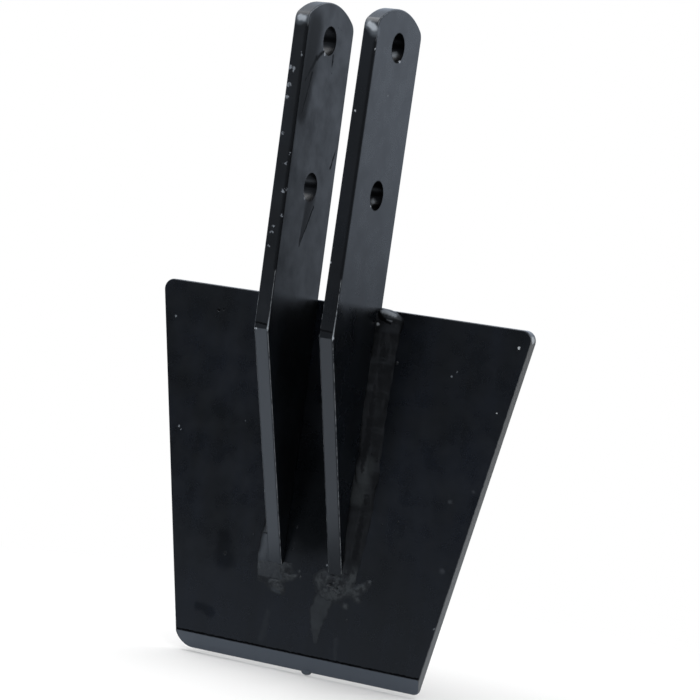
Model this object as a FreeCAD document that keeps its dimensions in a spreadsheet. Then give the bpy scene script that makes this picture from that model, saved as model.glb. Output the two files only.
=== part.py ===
# Spading machine blade: a trapezoid digging plate with two flat bars welded on edge to its front face.
# The bars bolt to the machine's crank arm, and the ground foot of the plate cuts the soil.
#
# Frame: +Z runs up along the bars, X along the bolts, and the digging face looks towards -Y.
# The origin is the middle of the upper bolt bore, halfway between the two bars.
import FreeCAD, Part
import os
import Sketcher

doc = FreeCAD.newDocument("spading_machine_blade")

# Driving dimensions, in millimetres, and one angle in degrees
SIZES = [
    # The two flat bars
    ("bar_width", 50, "front edge of the bar to the plate"),
    ("bar_thickness", 7.5, "rolled thickness"),
    ("bar_gap", 28.4, "clear gap between the bars, at the upper bolt"),
    ("bar_spread", 0.36, "each bar leans outwards going up, pulled over by its weld"),
    ("end_crown", 8.5, "rise of the rounded top over the straight edges"),
    ("end_corner_front", 5, "where the rounded top meets the front edge"),
    ("end_corner_back", 6, "where it meets the back edge"),
    ("bolt_hole", 14, "both through holes"),
    ("bolt_pitch", 70, "upper bolt to lower bolt"),
    ("bolt_end", 18, "upper bolt to the top of the bar"),
    ("taper_start", 16, "from the plate's top edge down to where the bar starts to narrow"),
    ("taper_length", 118.5, "from there down to where the front edge would meet the plate"),
    ("taper_corner", 1.5, "softened corner at the start of the taper"),
    ("tip_height", 2, "blunt end of the taper, out from the plate"),
    ("bar_arris", 0.9, "rounded long edges of the rolled flat"),
    # The digging plate
    ("plate_drop", 123, "upper bolt down to the plate's top edge"),
    ("plate_top", 200, "width at the top edge"),
    ("plate_foot", 130, "width at the cutting edge, corner to corner"),
    ("plate_height", 180, "top edge to cutting edge"),
    ("plate_thickness", 6, "sheet thickness"),
    ("top_corner", 5, "radius of both top corners"),
    ("left_foot_corner", 8, "the corner that is dressed rounder"),
    ("right_foot_corner", 3, "the crisper corner"),
    ("bevel_height", 8, "ground band across the foot of the front face"),
    ("edge_land", 1, "thickness left at the cutting edge"),
    ("plate_arris", 0.6, "softened outline of the front face"),
    ("drip_place", 5.2, "drip of hardened paint under the cutting edge, right of the middle"),
    ("drip_width", 5.4, "that drip, along the edge"),
    ("drip_depth", 1.5, "how far it hangs below the edge"),
    # The fillet welds on the outer sides of the bars
    ("left_weld_leg", 7.5, "left bead, out along the plate"),
    ("right_weld_leg", 10, "right bead, out along the plate"),
    ("weld_height", 5, "both beads, up the side of the bar"),
    ("weld_bulge", 0.8, "how far a bead stands out past a flat fillet"),
    ("weld_bite", 1, "how deep the melted metal reaches into the bar and the plate"),
    ("bead_overrun", 4, "how far a bead runs past the tip of the bar"),
    ("tip_leg_share", 0.85, "a bead's leg beside the tip, as a share of its full leg"),
    ("end_leg_share", 0.7, "its leg at its end"),
    ("end_height_share", 0.5, "its height at its end, as a share of its height beside the tip"),
    ("bead_start_share", 0.25, "where a bead's section starts, down the blob, as a share of the blob"),
    ("blob_height", 12, "start blob at the plate's top edge"),
    ("blob_proud", 0.8, "how far that blob stands over the plate's top edge"),
    ("blob_middle_share", 0.45, "the middle of that blob, out from the bar, as a share of the leg"),
    ("blob_width_share", 0.55, "half the width of that blob, as a share of the leg"),
    ("blob_height_share", 1.1, "how far that blob stands off the plate, as a share of the bead's height"),
    ("puddle_length", 17, "end puddle round the tip of the bar, along the plate"),
    ("puddle_width", 11, "end puddle, across"),
    ("puddle_drop", 5.5, "middle of the end puddle, below the tip of the bar"),
    ("puddle_height", 2.5, "end puddle, out from the plate"),
]
sheet = doc.addObject("Spreadsheet::Sheet", "sizes")
for row, (alias, value, note) in enumerate(SIZES, start=1):
    sheet.set("A%d" % row, str(value))
    sheet.setAlias("A%d" % row, alias)
    sheet.set("B%d" % row, note)
doc.recompute()

# Levels and places that several pieces share, as expressions of the sheet
PLATE_FACE = "sizes.bar_width / 2"
PLATE_TOP = "-sizes.plate_drop"
PLATE_FOOT = "-(sizes.plate_drop + sizes.plate_height)"
TAPER_TOP = "-(sizes.plate_drop + sizes.taper_start)"
TAPER_RUN = "sizes.taper_length * (1 - sizes.tip_height / sizes.bar_width)"
TIP = TAPER_TOP + " - " + TAPER_RUN
LEAN = "tan(sizes.bar_spread * 1 deg)"
SLANT_THICKNESS = "sizes.bar_thickness / cos(sizes.bar_spread * 1 deg)"

# Places closer together than this count as the same when edges are picked
NEAR = 0.2


def number(expression):
    """The value of an expression, for the first guess of a sketch and for finding edges."""
    result = sheet.evalExpression(expression)
    return float(getattr(result, "Value", result))


def start_body(label):
    """An empty body under the name of the real piece."""
    body = doc.addObject("PartDesign::Body", label)
    body.Label = label
    return body


def start_sketch(body, name, plane, lift="0", tilt="0"):
    """A sketch on one of the body's own planes, lifted along its normal and tilted about its first axis."""
    sketch = body.newObject("Sketcher::SketchObject", name)
    origin = [feature for feature in body.Origin.OriginFeatures if feature.Role == plane]
    sketch.AttachmentSupport = [(origin[0], "")]
    sketch.MapMode = "FlatFace"
    turn = FreeCAD.Rotation(FreeCAD.Vector(1, 0, 0), number(tilt))
    sketch.AttachmentOffset = FreeCAD.Placement(FreeCAD.Vector(0, 0, number(lift)), turn)
    sketch.setExpression("AttachmentOffset.Base.z", lift)
    if tilt != "0":
        sketch.setExpression("AttachmentOffset.Rotation.Axis.x", "1")
        sketch.setExpression("AttachmentOffset.Rotation.Angle", tilt)
    return sketch


def pin_point(sketch, geometry, end, across, up):
    """Place one end of a sketch line or arc, or a circle's centre, at two expressions."""
    for kind, expression in (("DistanceX", across), ("DistanceY", up)):
        value = number(expression)
        index = sketch.addConstraint(Sketcher.Constraint(kind, -1, 1, geometry, end, value))
        sketch.setExpression("Constraints[%d]" % index, expression)


def draw_outline(sketch, corners, crowns=None):
    """Closed outline through the corners, each a pair of expressions.

    crowns gives, for each side that is an arc, the rise of the arc over its chord, to the right of the way
    the outline runs, or to the left where it is negative. A sketch's arcs run anticlockwise, so an arc
    that bends to the left is drawn from its far end."""
    crowns = crowns or {}
    points = [FreeCAD.Vector(number(across), number(up), 0) for across, up in corners]
    first_end = {}
    for side, start in enumerate(points):
        finish = points[(side + 1) % len(points)]
        first_end[side] = 1
        if side not in crowns:
            sketch.addGeometry(Part.LineSegment(start, finish), False)
            continue
        rise = number(crowns[side])
        chord = finish - start
        to_the_right = FreeCAD.Vector(chord.y, -chord.x, 0).normalize()
        middle = (start + finish) * 0.5 + to_the_right * rise
        if rise < 0:
            start, finish = finish, start
            first_end[side] = 2
        sketch.addGeometry(Part.Arc(start, middle, finish), False)
    for side, (across, up) in enumerate(corners):
        previous = (side - 1) % len(corners)
        end_before = 3 - first_end[previous]
        sketch.addConstraint(Sketcher.Constraint("Coincident", previous, end_before, side, first_end[side]))
        pin_point(sketch, side, first_end[side], across, up)
    for side, crown in crowns.items():
        across, up = corners[side]
        far_across, far_up = corners[(side + 1) % len(corners)]
        quarter = "(((%s) - (%s))^2 + ((%s) - (%s))^2) / 4" % (far_across, across, far_up, up)
        radius = "(%s + (%s)^2) / (2 * abs(%s))" % (quarter, crown, crown)
        index = sketch.addConstraint(Sketcher.Constraint("Radius", side, number(radius)))
        sketch.setExpression("Constraints[%d]" % index, radius)


def pad(body, sketch, length, reverse=False):
    """Give the sketch a thickness."""
    feature = body.newObject("PartDesign::Pad", sketch.Name + "_pad")
    feature.Profile = sketch
    feature.Length = number(length)
    feature.setExpression("Length", length)
    feature.Reversed = reverse
    doc.recompute()
    return feature


def cut_through(body, sketch):
    """Cut the sketch through the whole body, both ways from its plane."""
    before = body.Shape.Volume
    feature = body.newObject("PartDesign::Pocket", sketch.Name + "_cut")
    feature.Profile = sketch
    feature.Type = "ThroughAll"
    feature.SideType = "Symmetric"
    doc.recompute()
    if body.Shape.Volume >= before:
        raise RuntimeError(sketch.Name + " cuts nothing")
    return feature


def round_edges(body, name, radius, wanted):
    """Fillet every edge of the body whose middle point, direction there and length pass the test."""
    base = body.Tip
    names = []
    for index, edge in enumerate(base.Shape.Edges, start=1):
        halfway = (edge.FirstParameter + edge.LastParameter) / 2
        if wanted(edge.valueAt(halfway), edge.tangentAt(halfway), edge):
            names.append("Edge%d" % index)
    if not names:
        raise RuntimeError(name + " finds no edge")
    feature = body.newObject("PartDesign::Fillet", name)
    feature.Base = (base, names)
    feature.Radius = number(radius)
    feature.setExpression("Radius", radius)
    doc.recompute()
    return feature


def add_dome(body, name, centre, radii):
    """An ellipsoid in the body. centre and radii are expressions along X, Y and Z."""
    dome = body.newObject("PartDesign::AdditiveEllipsoid", name)
    for axis, expression in zip("xyz", centre):
        dome.setExpression("Placement.Base." + axis, expression)
    for order, expression in zip((2, 3, 1), radii):
        dome.setExpression("Radius%d" % order, expression)
    doc.recompute()
    return dome


def make_bar(label, side):
    """A flat bar on edge beside the middle plane, on the side given by -1 or 1.

    Its outline lies in its inner wide face: straight edges, a shallow arc over the top, and a long taper
    from full width to a blunt tip on the plate. The bolt holes are drilled through both bars in one line."""
    body = start_body(label)
    inner_face = "%d * sizes.bar_gap / 2" % side
    outline = start_sketch(body, label + "_outline", "YZ_Plane", inner_face, "%d * sizes.bar_spread" % side)
    shoulder = "sizes.bolt_end - sizes.end_crown"
    corners = [
        (PLATE_FACE, shoulder),
        ("-sizes.bar_width / 2", shoulder),
        ("-sizes.bar_width / 2", TAPER_TOP),
        (PLATE_FACE + " - sizes.tip_height", TIP),
        (PLATE_FACE, TIP),
    ]
    draw_outline(outline, corners, {0: "sizes.end_crown"})
    pad(body, outline, "sizes.bar_thickness", reverse=side < 0)

    holes = start_sketch(body, label + "_holes", "YZ_Plane")
    for number_of_pitches in (0, 1):
        level = "-%d * sizes.bolt_pitch" % number_of_pitches
        centre = FreeCAD.Vector(0, number(level), 0)
        circle = holes.addGeometry(Part.Circle(centre, FreeCAD.Vector(0, 0, 1), number("sizes.bolt_hole / 2")))
        pin_point(holes, circle, 3, "0", level)
        index = holes.addConstraint(Sketcher.Constraint("Diameter", circle, number("sizes.bolt_hole")))
        holes.setExpression("Constraints[%d]" % index, "sizes.bolt_hole")
    cut_through(body, holes)

    front = -number(PLATE_FACE)
    back = number(PLATE_FACE)

    def crossing_edge_at(y, z):
        """Test for the short edge that runs through the bar's thickness at this place in its outline."""
        def test(middle, direction, edge):
            across = abs(direction.x) > 0.9
            return across and abs(middle.y - y) < NEAR and abs(middle.z - z) < NEAR
        return test

    round_edges(body, label + "_front_shoulder", "sizes.end_corner_front", crossing_edge_at(front, number(shoulder)))
    round_edges(body, label + "_back_shoulder", "sizes.end_corner_back", crossing_edge_at(back, number(shoulder)))
    round_edges(body, label + "_taper_corner", "sizes.taper_corner", crossing_edge_at(front, number(TAPER_TOP)))

    tip_level = number(TIP)
    bolt_levels = (0, -number("sizes.bolt_pitch"))

    def outer_arris(middle, direction, edge):
        """Test for the edges round both wide faces, without the bolt holes, the seat and the tip."""
        on_hole = min(abs(FreeCAD.Vector(0, middle.y, middle.z - level).Length) for level in bolt_levels)
        clear_of_holes = on_hole > number("sizes.bolt_hole / 2") + NEAR
        along = abs(direction.x) < 0.5
        return along and clear_of_holes and middle.y < back - NEAR and middle.z > tip_level + NEAR

    round_edges(body, label + "_arris", "sizes.bar_arris", outer_arris)
    return body


def make_plate(label):
    """The trapezoid plate, its front face on the bars' back edges, with its foot ground to a bevel."""
    body = start_body(label)
    outline = start_sketch(body, label + "_outline", "XZ_Plane", "-" + PLATE_FACE)
    corners = [
        ("-sizes.plate_top / 2", PLATE_TOP),
        ("-sizes.plate_foot / 2", PLATE_FOOT),
        ("sizes.plate_foot / 2", PLATE_FOOT),
        ("sizes.plate_top / 2", PLATE_TOP),
    ]
    draw_outline(outline, corners)
    pad(body, outline, "sizes.plate_thickness", reverse=True)

    def corner_at(sides, level):
        """Test for the edges through the sheet at a corner of the outline, on the sides given."""
        def test(middle, direction, edge):
            through = abs(direction.y) > 0.9
            on_side = any(side * middle.x > 0 for side in sides)
            return through and on_side and abs(middle.z - level) < NEAR
        return test

    top = number(PLATE_TOP)
    foot = number(PLATE_FOOT)
    round_edges(body, label + "_top_corners", "sizes.top_corner", corner_at((-1, 1), top))
    round_edges(body, label + "_left_foot", "sizes.left_foot_corner", corner_at((-1,), foot))
    round_edges(body, label + "_right_foot", "sizes.right_foot_corner", corner_at((1,), foot))

    bevel = start_sketch(body, label + "_bevel", "YZ_Plane")
    bevel_corners = [
        (PLATE_FACE, PLATE_FOOT + " + sizes.bevel_height"),
        (PLATE_FACE, PLATE_FOOT),
        (PLATE_FACE + " + sizes.plate_thickness - sizes.edge_land", PLATE_FOOT),
    ]
    draw_outline(bevel, bevel_corners)
    cut_through(body, bevel)

    front = number(PLATE_FACE)
    bevel_top = number(PLATE_FOOT + " + sizes.bevel_height")

    def front_outline(middle, direction, edge):
        """Test for the outer edges of the front face, without the line where the bevel starts."""
        return abs(middle.y - front) < NEAR and middle.z > bevel_top + NEAR

    round_edges(body, label + "_arris", "sizes.plate_arris", front_outline)

    land_front = PLATE_FACE + " + sizes.plate_thickness - sizes.edge_land"
    drip_radii = ("sizes.drip_width / 2", "sizes.edge_land", "sizes.drip_depth")
    add_dome(body, label + "_drip", ("sizes.drip_place", land_front, PLATE_FOOT), drip_radii)
    return body


def make_weld(label, side, leg, bar, plate):
    """A convex fillet bead in the outer corner between a bar and the plate, on the side given by -1 or 1.

    It keeps its section down to where the bar gets low, then dies out beside the tip. A blob at its start
    wraps over the plate's top edge, and a puddle closes round the tip. The metal is drawn a little into the
    bar and the plate and then cut back by both, so that it seats on them as the melted metal does."""
    body = start_body(label + "_metal")

    def bar_face(level):
        """Where the bar's outer face stands at this level."""
        return "%d * (sizes.bar_gap / 2 + (%s) * %s + %s)" % (side, level, LEAN, SLANT_THICKNESS)

    twice_bead = "2 * sizes.weld_height / sizes.bar_width"
    low_bar = TAPER_TOP + " - sizes.taper_length * (1 - %s)" % twice_bead
    tip_share = "sizes.tip_height / sizes.weld_height"
    stations = [
        (PLATE_TOP + " - sizes.bead_start_share * sizes.blob_height", "1", "1"),
        (low_bar, "1", "1"),
        (TIP, "sizes.tip_leg_share", tip_share),
        (TIP + " - sizes.bead_overrun", "sizes.end_leg_share", "sizes.end_height_share * " + tip_share),
    ]
    sections = []
    for station, (level, leg_share, height_share) in enumerate(stations):
        face = bar_face(level)
        inside = "%s - %d * sizes.weld_bite" % (face, side)
        toe = "%s + %d * %s * %s" % (face, side, leg_share, leg)
        crest = "%s - %s * sizes.weld_height" % (PLATE_FACE, height_share)
        root = PLATE_FACE + " + sizes.weld_bite"
        corners = [(face, crest), (toe, PLATE_FACE), (toe, root), (inside, root), (inside, crest)]
        bulge = "%d * sizes.weld_bulge * %s" % (side, leg_share)
        sketch = start_sketch(body, "%s_section_%d" % (label, station), "XY_Plane", level)
        draw_outline(sketch, corners, {0: bulge})
        sections.append(sketch)
    bead = body.newObject("PartDesign::AdditiveLoft", label + "_bead")
    bead.Profile = sections[0]
    bead.Sections = sections[1:]
    bead.Ruled = True
    doc.recompute()

    blob_level = PLATE_TOP + " + sizes.blob_proud - sizes.blob_height / 2"
    blob_middle = "%s + %d * sizes.blob_middle_share * %s" % (bar_face(blob_level), side, leg)
    blob_radii = ("sizes.blob_width_share * " + leg, "sizes.blob_height_share * sizes.weld_height",
                  "sizes.blob_height / 2")
    add_dome(body, label + "_blob", (blob_middle, PLATE_FACE, blob_level), blob_radii)

    puddle_level = TIP + " - sizes.puddle_drop"
    bar_middle = "%s - %d * %s / 2" % (bar_face(puddle_level), side, SLANT_THICKNESS)
    puddle_radii = ("sizes.puddle_width / 2", "sizes.puddle_height", "sizes.puddle_length / 2")
    add_dome(body, label + "_puddle", (bar_middle, PLATE_FACE, puddle_level), puddle_radii)

    beside_bar = doc.addObject("Part::Cut", label + "_beside_bar")
    beside_bar.Base = body
    beside_bar.Tool = bar
    weld = doc.addObject("Part::Cut", label)
    weld.Label = label
    weld.Base = beside_bar
    weld.Tool = plate
    doc.recompute()
    return weld


plate = make_plate("blade_plate")
left_bar = make_bar("left_bar", -1)
right_bar = make_bar("right_bar", 1)
left_weld = make_weld("left_weld", -1, "sizes.left_weld_leg", left_bar, plate)
right_weld = make_weld("right_weld", 1, "sizes.right_weld_leg", right_bar, plate)
pieces = [plate, left_bar, right_bar, left_weld, right_weld]

# Nothing is written unless every object is sound and each piece is one closed solid
doc.recompute()
for thing in doc.Objects:
    if "Invalid" in thing.State or "Error" in thing.State:
        raise RuntimeError(thing.Label + " failed: " + thing.getStatusString())
for piece in pieces:
    shape = piece.Shape
    if shape.isNull() or not shape.isValid() or len(shape.Solids) != 1:
        raise RuntimeError(piece.Label + " is not one sound solid")

os.makedirs("parts", exist_ok=True)
for piece in pieces:
    piece.Shape.exportStep(os.path.join("parts", piece.Label + ".step"))
    box = piece.Shape.optimalBoundingBox()
    print("%-12s %9.1f mm3, x %.1f to %.1f, y %.1f to %.1f, z %.1f to %.1f" % (
        piece.Label, piece.Shape.Volume, box.XMin, box.XMax, box.YMin, box.YMax, box.ZMin, box.ZMax))
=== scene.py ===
# %% [markdown]
# # A spading machine blade, dressed for its photograph
#
# The object is one welded steel spade: a trapezoid digging plate, and two flat bars on edge that are welded
# to its front face. It was dipped whole in black machine paint. The solids come from the CAD model, and this
# lesson adds what a solid does not carry: the weld metal with its lobes and splashes, the paint with its
# grain, runs, chips and dust, and a plain studio around it.

# %% Load the frame
import bpy
import bmesh
import math
import numpy as np
from mathutils import Matrix, Vector


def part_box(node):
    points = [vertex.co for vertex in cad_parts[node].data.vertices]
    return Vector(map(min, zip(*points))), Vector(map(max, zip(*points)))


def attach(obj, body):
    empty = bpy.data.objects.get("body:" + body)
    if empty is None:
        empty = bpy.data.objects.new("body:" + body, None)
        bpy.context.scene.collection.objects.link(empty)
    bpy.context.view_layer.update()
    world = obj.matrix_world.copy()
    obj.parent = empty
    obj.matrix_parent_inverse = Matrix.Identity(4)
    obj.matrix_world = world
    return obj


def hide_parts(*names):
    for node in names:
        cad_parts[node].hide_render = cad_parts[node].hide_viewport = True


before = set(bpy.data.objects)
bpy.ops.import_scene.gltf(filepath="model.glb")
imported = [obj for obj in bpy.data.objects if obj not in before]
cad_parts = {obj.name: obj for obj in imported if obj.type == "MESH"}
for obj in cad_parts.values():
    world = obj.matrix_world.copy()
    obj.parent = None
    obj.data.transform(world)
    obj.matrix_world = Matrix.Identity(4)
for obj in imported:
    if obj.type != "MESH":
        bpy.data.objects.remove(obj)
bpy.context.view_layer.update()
print("CAD nodes:", ", ".join(sorted(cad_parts)))

# %% [markdown]
# Every size below comes from the frame, so that the dressing follows the solids if they change. The plate's
# box gives the level of its top edge and foot and the plane of its front face. The bars' boxes give where
# their outer faces stand, and their lean: a bar's outer face stands further out at the top than at the tip.

# %% Levels and faces read from the solids
MM = 0.001
plate_low, plate_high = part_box("blade_plate")
bar_low, bar_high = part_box("right_bar")
FACE = plate_low.y
TOP = plate_high.z
BOTTOM = plate_low.z
DRIP_DEPTH = 1.5 * MM
FOOT = BOTTOM + DRIP_DEPTH
TIP = bar_low.z
BAR_FRONT = bar_low.y
BAR_TOP = bar_high.z
BAR_THICKNESS = 7.5 * MM
BOLT_RADIUS, BOLT_PITCH = 7 * MM, 70 * MM
KINK = TOP - 16 * MM
inner_at_tip = bar_low.x
outer_at_top = bar_high.x
LEAN = (outer_at_top - BAR_THICKNESS - inner_at_tip) / (BAR_TOP - TIP)
print("plate face at y %.1f mm, top edge %.1f, foot %.1f, tip %.1f, lean %.4f"
      % (FACE / MM, TOP / MM, FOOT / MM, TIP / MM, LEAN))


def outer_face(z):
    """Distance from the middle plane to a bar's outer wide face at the level z."""
    return inner_at_tip + BAR_THICKNESS + LEAN * (z - TIP)


# %% [markdown]
# ## Small tools
#
# Colours are written as they look on a screen, as hex values. Blender shades with linear light, so one
# function turns a hex value to linear. One more function adds a shader node with its settings and links. A
# surface is a grid of points worked out with numpy, and one function turns the whole grid into quads, merges
# what meets at seams and poles, and makes the faces point outwards.

# %% Colour, node and surface helpers
def linear(hex_colour):
    """sRGB hex to linear RGBA: each channel divided by 255, then the sRGB curve undone."""
    channels = np.array([int(hex_colour[i:i + 2], 16) for i in (1, 3, 5)]) / 255.0
    curve = np.where(channels <= 0.04045, channels / 12.92, ((channels + 0.055) / 1.055) ** 2.4)
    return (*curve.tolist(), 1.0)


def add(tree, kind, links=None, **settings):
    """Adds a node. settings are its properties; links maps an input's name or number to a value or a socket."""
    node = tree.nodes.new(kind)
    for name, value in settings.items():
        setattr(node, name, value)
    for name, value in (links or {}).items():
        if isinstance(value, bpy.types.NodeSocket):
            tree.links.new(value, node.inputs[name])
        else:
            node.inputs[name].default_value = value
    return node


def quads(rows, columns, round_columns):
    """Corner numbers of the quads of a grid, whose last column joins its first if it is round."""
    numbers = np.arange(rows * columns).reshape(rows, columns)
    right = np.roll(numbers, -1, axis=1)
    below, below_right = numbers[1:], right[1:]
    faces = np.stack([numbers[:-1], below, below_right, right[:-1]], axis=-1)
    if not round_columns:
        faces = faces[:, :-1]
    return faces.reshape(-1, 4)


def make_piece(name, grids, smooth=True):
    """One mesh object from several grids of points (rows, columns, 3), each with its round_columns flag."""
    points = np.concatenate([grid.reshape(-1, 3) for grid, closed in grids])
    faces = []
    first = 0
    for grid, closed in grids:
        faces.append(quads(grid.shape[0], grid.shape[1], closed) + first)
        first += grid.shape[0] * grid.shape[1]
    mesh = bpy.data.meshes.new(name)
    mesh.from_pydata(points.tolist(), [], np.concatenate(faces).tolist())
    shell = bmesh.new()
    shell.from_mesh(mesh)
    bmesh.ops.remove_doubles(shell, verts=shell.verts, dist=0.5e-6)
    bmesh.ops.holes_fill(shell, edges=[edge for edge in shell.edges if edge.is_boundary], sides=0)
    bmesh.ops.recalc_face_normals(shell, faces=shell.faces)
    shell.to_mesh(mesh)
    shell.free()
    mesh.polygons.foreach_set("use_smooth", np.full(len(mesh.polygons), smooth))
    piece = bpy.data.objects.new(name, mesh)
    bpy.context.scene.collection.objects.link(piece)
    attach(piece, "root")
    print("%s: %d faces" % (name, len(mesh.polygons)))
    return piece


def wander(along, lengths, seed):
    """Smooth random line from -1 to 1: sines of the given wavelengths with random phases, averaged."""
    dice = np.random.default_rng(seed)
    total = np.zeros_like(along)
    for length in lengths:
        total = total + np.sin(2 * np.pi * along / length + dice.uniform(0, 2 * np.pi))
    return total / len(lengths)


# %% [markdown]
# ## The fillet welds
#
# A weld of this kind is one pass of a wire welder, drawn down the outer corner between bar and plate. The
# melted metal wets both walls, its two toes wander by a millimetre, because the hand does, and where the
# welder stopped and started again one run laps over the other. It starts in a fat blob that laps over the
# plate's top edge, and it ends beside the tip of the bar, where the welder closed round the end.
#
# A bevel modifier could round such a corner, but it would be too even. So the bead is a section carried down
# the corner. The section is a superellipse, which is a straight line at fullness 1, a quarter of an ellipse
# at 2, and nearly a box above that. Its two legs and its fullness are read off the photograph at a few
# stations, joined smoothly, and roughened by slow random waves.

# %% The bead as a surface
TAPER_SLOPE = 0.422
TIP_HEIGHT = 2.0


def ground_height(z):
    """Millimetres from the plate's face to the ground surface at the level z.

    Above the tip it is the plane of the tapered front edges, and below it runs out flatter into the plate."""
    above = TIP_HEIGHT + (z - TIP) / MM * TAPER_SLOPE
    below = TIP_HEIGHT * (1 - (TIP - z) / (7.8 * MM))
    return np.where(z > TIP, above, below)


def smooth_through(at, stations, values, blur):
    """Values at the places asked for, joined by straight lines and then averaged over a length."""
    places = np.linspace(at.min(), at.max(), 2000)
    line = np.interp(places, stations, values)
    window = max(3, int(blur / (places[1] - places[0])) | 1)
    kernel = np.hanning(window + 2)[1:-1]
    padded = np.pad(line, window // 2, mode="edge")
    return np.interp(at, places, np.convolve(padded, kernel / kernel.sum(), mode="valid"))


def bead(side, stations, finish_depth, seed, restart):
    """Weld bead in the corner at bar and plate, on the side given by -1 or 1.

    stations are rows of depth below the plate's top edge, leg along the plate, leg up the bar, fullness p and
    lap, by which the metal covers the bar's rounded edge. The front of a section is
    x = -lap + (leg + lap) sin(u)^(2/p), y = -height cos(u)^(2/p) for u from 0 to a right angle, and its back
    runs inside the two walls. Both ends close as quarters of an ellipse. At the restart the upper run laps
    over the lower one as a tongue: a step whose place bends with u."""
    rows, front, back = 380, 34, 8
    depth, leg, height, fullness, lap = (np.array(column, float) for column in zip(*stations))
    start = -0.8
    s = np.linspace(start, finish_depth, rows)[:, None]
    z = TOP - s * MM
    leg = smooth_through(s, depth, leg, 6.0) + 0.35 * wander(s, (31.0, 17.0, 9.0), seed)
    height = smooth_through(s, depth, height, 5.0) + 0.22 * wander(s, (23.0, 12.0, 6.5), seed + 1)
    lap = smooth_through(s, depth, lap, 6.0)
    height = np.minimum(height, ground_height(z) + np.where(lap > 0.3, 0.06, -0.15))
    power = 2 / smooth_through(s, depth, fullness, 8.0)
    first = np.sqrt(np.clip(1 - (1 - np.clip((s - start) / 5.0, 0, 1)) ** 2, 0, 1))
    last = np.sqrt(np.clip(1 - (1 - np.clip((finish_depth - s) / 2.6, 0, 1)) ** 2, 0, 1))
    closing = first * last

    # Two passes lie side by side, so a shallow valley wanders down the middle of the bead
    u = np.linspace(0, np.pi / 2, front)[None, :]
    v = u / (np.pi / 2)
    tongue = 1 / (1 + np.exp((s - restart + 9.0 * (v - 0.55) ** 2 * 4) / 0.5))
    swell = 1 + 0.08 * tongue
    chevron = 0.005 * np.sin(2 * np.pi * (s - 2.6 * (v - 0.5) ** 2 * 4) / 2.9 + 3 * wander(s, (19.0,), seed + 3))
    lumps = 0.07 * wander(s + 5 * v, (27.0, 16.0), seed + 4) * np.cos(np.pi * v)
    valley_at = 0.50 + 0.07 * wander(s, (37.0, 21.0), seed + 6)
    valley = (0.5 + 0.5 * wander(s, (43.0, 29.0), seed + 7)) * np.clip((s - 14) / 10, 0, 1)
    lumps = lumps - 0.20 * valley * np.exp(-((v - valley_at) / 0.11) ** 2)
    skin = 1 + (chevron + lumps) * np.sin(2 * u) * 0.6
    dressed = np.clip(lap, 0, 1)
    skin, swell = skin + (1 - skin) * dressed, swell + (1 - swell) * dressed
    x = (-lap + (leg + lap) * np.sin(u) ** power) * swell * skin * closing
    y = -height * np.cos(u) ** power * swell * skin * closing
    y = y + 0.3 * dressed * np.exp(-(x + lap) / 0.35)
    sunk = 0.35 * closing
    w = np.linspace(0, 1, back)[None, :]
    inside_x = np.where(w < 0.5, x[:, -1:] * (1 - 2 * w), x[:, :1] * (2 * w - 1)) - sunk * np.clip(2 * w, 0, 1)
    inside_y = np.where(w < 0.5, 0, y[:, :1] * (2 * w - 1)) + sunk * np.clip(2 - 2 * w, 0, 1)
    section_x = np.concatenate([x, inside_x], axis=1) * MM
    section_y = np.concatenate([y, inside_y], axis=1) * MM
    z = np.broadcast_to(z, section_x.shape)
    return np.stack([side * (outer_face(z) + section_x), FACE + section_y, z], axis=-1)


# %% [markdown]
# The metal at the tips is a frozen splash: a main drop, arms where it ran, and the craters that the arc left
# when it was switched off. Sculpting could make it. Here it is a sheet over the plate whose height is a sum of
# bells, one for each drop, with negative bells for the craters. Where the sum is below a threshold the sheet
# dips into the steel, so neighbouring drops melt into each other with one shared rim, as liquid does.

# %% A splash of metal as a sheet of bells
def splash(bells, window, threshold=0.12, cell=0.30, grain=0.04, seed=1, ground_beyond=None, spared=None):
    """Sheet over the plate, closed behind.

    bells are rows of x, depth, half length, half width, turn in degrees and height, all in millimetres. Each
    adds height times exp(-(a/length)^2 - (b/width)^2), where a and b are measured along and across the turned
    bell. The threshold is taken off, negative parts are pressed to a shallow depth, and noise adds grain.
    Left of ground_beyond the metal has been ground flush: nothing rises above the plane of the taper, but for
    a drop that the grinder spared, right of and below the place given, where that plane is lifted smoothly."""
    left, right, above, below = window
    x = np.linspace(left, right, int((right - left) / cell))[None, :]
    depth = np.linspace(above, below, int((below - above) / cell))[:, None]
    total = np.zeros((depth.shape[0], x.shape[1]))
    for centre_x, centre_depth, half_length, half_width, turn, height in bells:
        c, s = math.cos(math.radians(turn)), math.sin(math.radians(turn))
        a = (x - centre_x) * c - (depth - centre_depth) * s
        b = (x - centre_x) * s + (depth - centre_depth) * c
        total = total + height * np.exp(-(a / half_length) ** 2 - (b / half_width) ** 2)
    uneven = wander(x + 0.3 * depth, (5.1, 3.3), seed) * wander(depth - 0.4 * x, (4.7, 2.9), seed + 1)
    total = total * (1 + 2.5 * grain * uneven) + grain * uneven - threshold
    height = np.where(total > 0, total, np.maximum(total, -0.12))
    if ground_beyond is not None:
        flush = np.maximum(ground_height(TOP - depth * MM) + 0.06, 0.10)
        lifted = np.clip((x - spared[0]) / 2.5, 0, 1) * np.clip((depth - spared[1]) / 4.0, 0, 1)
        height = np.where(x < ground_beyond, np.minimum(height, flush + 2.0 * lifted), height)
    shape = total.shape
    front = np.stack([np.broadcast_to(x, shape) * MM, FACE - height * MM,
                      TOP - np.broadcast_to(depth, shape) * MM], axis=-1)
    rear = front[:, ::-1].copy()
    rear[..., 1] = FACE + 0.4 * MM
    return np.concatenate([front, rear], axis=1)


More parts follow.
